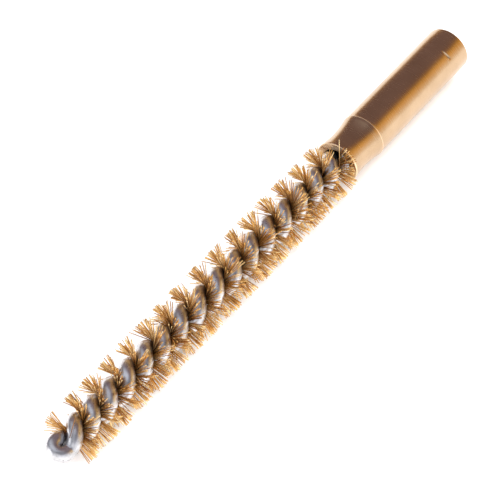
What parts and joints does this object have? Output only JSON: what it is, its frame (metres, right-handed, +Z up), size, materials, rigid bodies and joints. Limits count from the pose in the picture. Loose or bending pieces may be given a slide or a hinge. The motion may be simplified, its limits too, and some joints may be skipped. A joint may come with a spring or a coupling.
{
  "type": "tip cleaning brush",
  "caption": "Twisted-in-wire tip cleaning brush: brass bristles in a double spiral on a folded steel stem, crimped in a brass ferrule with a socket.",
  "frame": {"origin": "on the surface that the brush lies on, below the middle of its length", "axes": "+X along the brush's axis from the hairpin tip to the ferrule's socket, +Z up from the surface it lies on"},
  "size_m": [0.109, 0.01, 0.01],
  "materials": {
    "ferrule_brass": "turned, lightly tarnished",
    "stem_steel": "drawn wire, satin",
    "bristle_brass": "drawn wire, bright"
  },
  "bodies": {
    "root": {"ferrule": "ferrule_brass", "stem_wire": "stem_steel", "bristle_row_01": "bristle_brass", "bristle_row_02": "bristle_brass", "bristle_row_03": "bristle_brass", "bristle_row_04": "bristle_brass", "bristle_row_05": "bristle_brass", "bristle_row_06": "bristle_brass", "bristle_row_07": "bristle_brass", "bristle_row_08": "bristle_brass", "bristle_row_09": "bristle_brass", "bristle_row_10": "bristle_brass", "bristle_row_11": "bristle_brass", "bristle_row_12": "bristle_brass", "bristle_row_13": "bristle_brass", "bristle_row_14": "bristle_brass", "bristle_row_15": "bristle_brass", "bristle_row_16": "bristle_brass"}
  },
  "joints": []
}
